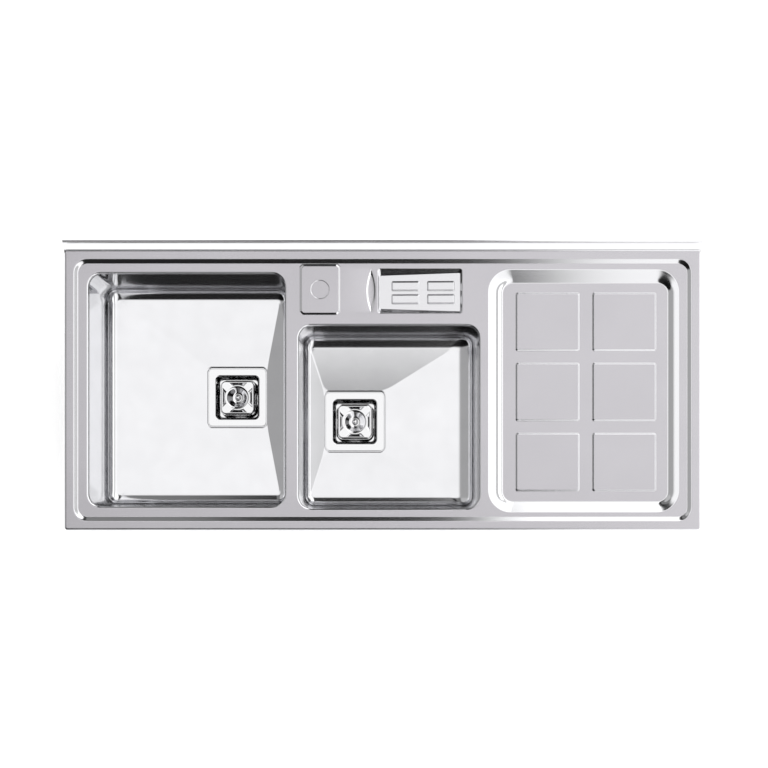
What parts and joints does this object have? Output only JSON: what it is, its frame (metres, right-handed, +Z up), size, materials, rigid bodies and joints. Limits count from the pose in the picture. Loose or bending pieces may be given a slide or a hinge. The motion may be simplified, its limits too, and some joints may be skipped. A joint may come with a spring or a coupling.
{
  "type": "kitchen sink",
  "caption": "Lay-on stainless kitchen sink: a large and a small bowl with square wastes and lift-out strainers, tap landing, soap tray, drainboard with raised pads and a back upstand.",
  "frame": {"origin": "middle of the back seat flange's underside, in the plane of the cabinet's top edge", "axes": "+X along the sink to the right, +Y to the wall behind it, +Z up out of the bowls"},
  "size_m": [1.18, 0.536, 0.2805],
  "materials": {
    "satin_steel": "satin stainless, fine lengthwise grain",
    "drawn_steel": "drawn and lightly polished stainless",
    "polished_steel": "mirror-polished stainless",
    "zinc_steel": "zinc plated",
    "rubber": "moulded black rubber",
    "plastic": "moulded grey polypropylene",
    "damping": "bitumen damping sheet"
  },
  "bodies": {
    "sink": {"sink_top": "satin_steel", "left_bowl": "drawn_steel", "right_bowl": "drawn_steel", "left_flange": "polished_steel", "left_flange_gasket": "rubber", "left_body_gasket": "rubber", "left_waste_body": "plastic", "left_outlet_nut": "plastic", "left_outlet_washer": "rubber", "left_clamp_screw": "polished_steel", "right_flange": "polished_steel", "right_flange_gasket": "rubber", "right_body_gasket": "rubber", "right_waste_body": "plastic", "right_outlet_nut": "plastic", "right_outlet_washer": "rubber", "right_clamp_screw": "polished_steel", "left_bowl_damping": "damping", "right_bowl_damping": "damping", "drainer_damping_left": "damping", "drainer_damping_right": "damping", "drainer_channel_front": "zinc_steel", "drainer_channel_back": "zinc_steel", "clip_1": "zinc_steel", "clip_2": "zinc_steel", "clip_3": "zinc_steel", "clip_4": "zinc_steel", "clip_screw_1": "zinc_steel", "clip_screw_2": "zinc_steel", "clip_screw_3": "zinc_steel", "clip_screw_4": "zinc_steel"},
    "left_strainer": {"left_basket": "polished_steel", "left_basket_knob": "polished_steel", "left_basket_seal": "rubber"},
    "right_strainer": {"right_basket": "polished_steel", "right_basket_knob": "polished_steel", "right_basket_seal": "rubber"}
  },
  "joints": [
    {"name": "left_strainer_lift", "type": "slide", "parent": "sink", "child": "left_strainer", "axis": [0, 0, 1], "range_m": [0, 0.255]},
    {"name": "right_strainer_lift", "type": "slide", "parent": "sink", "child": "right_strainer", "axis": [0, 0, 1], "range_m": [0, 0.22]}
  ]
}
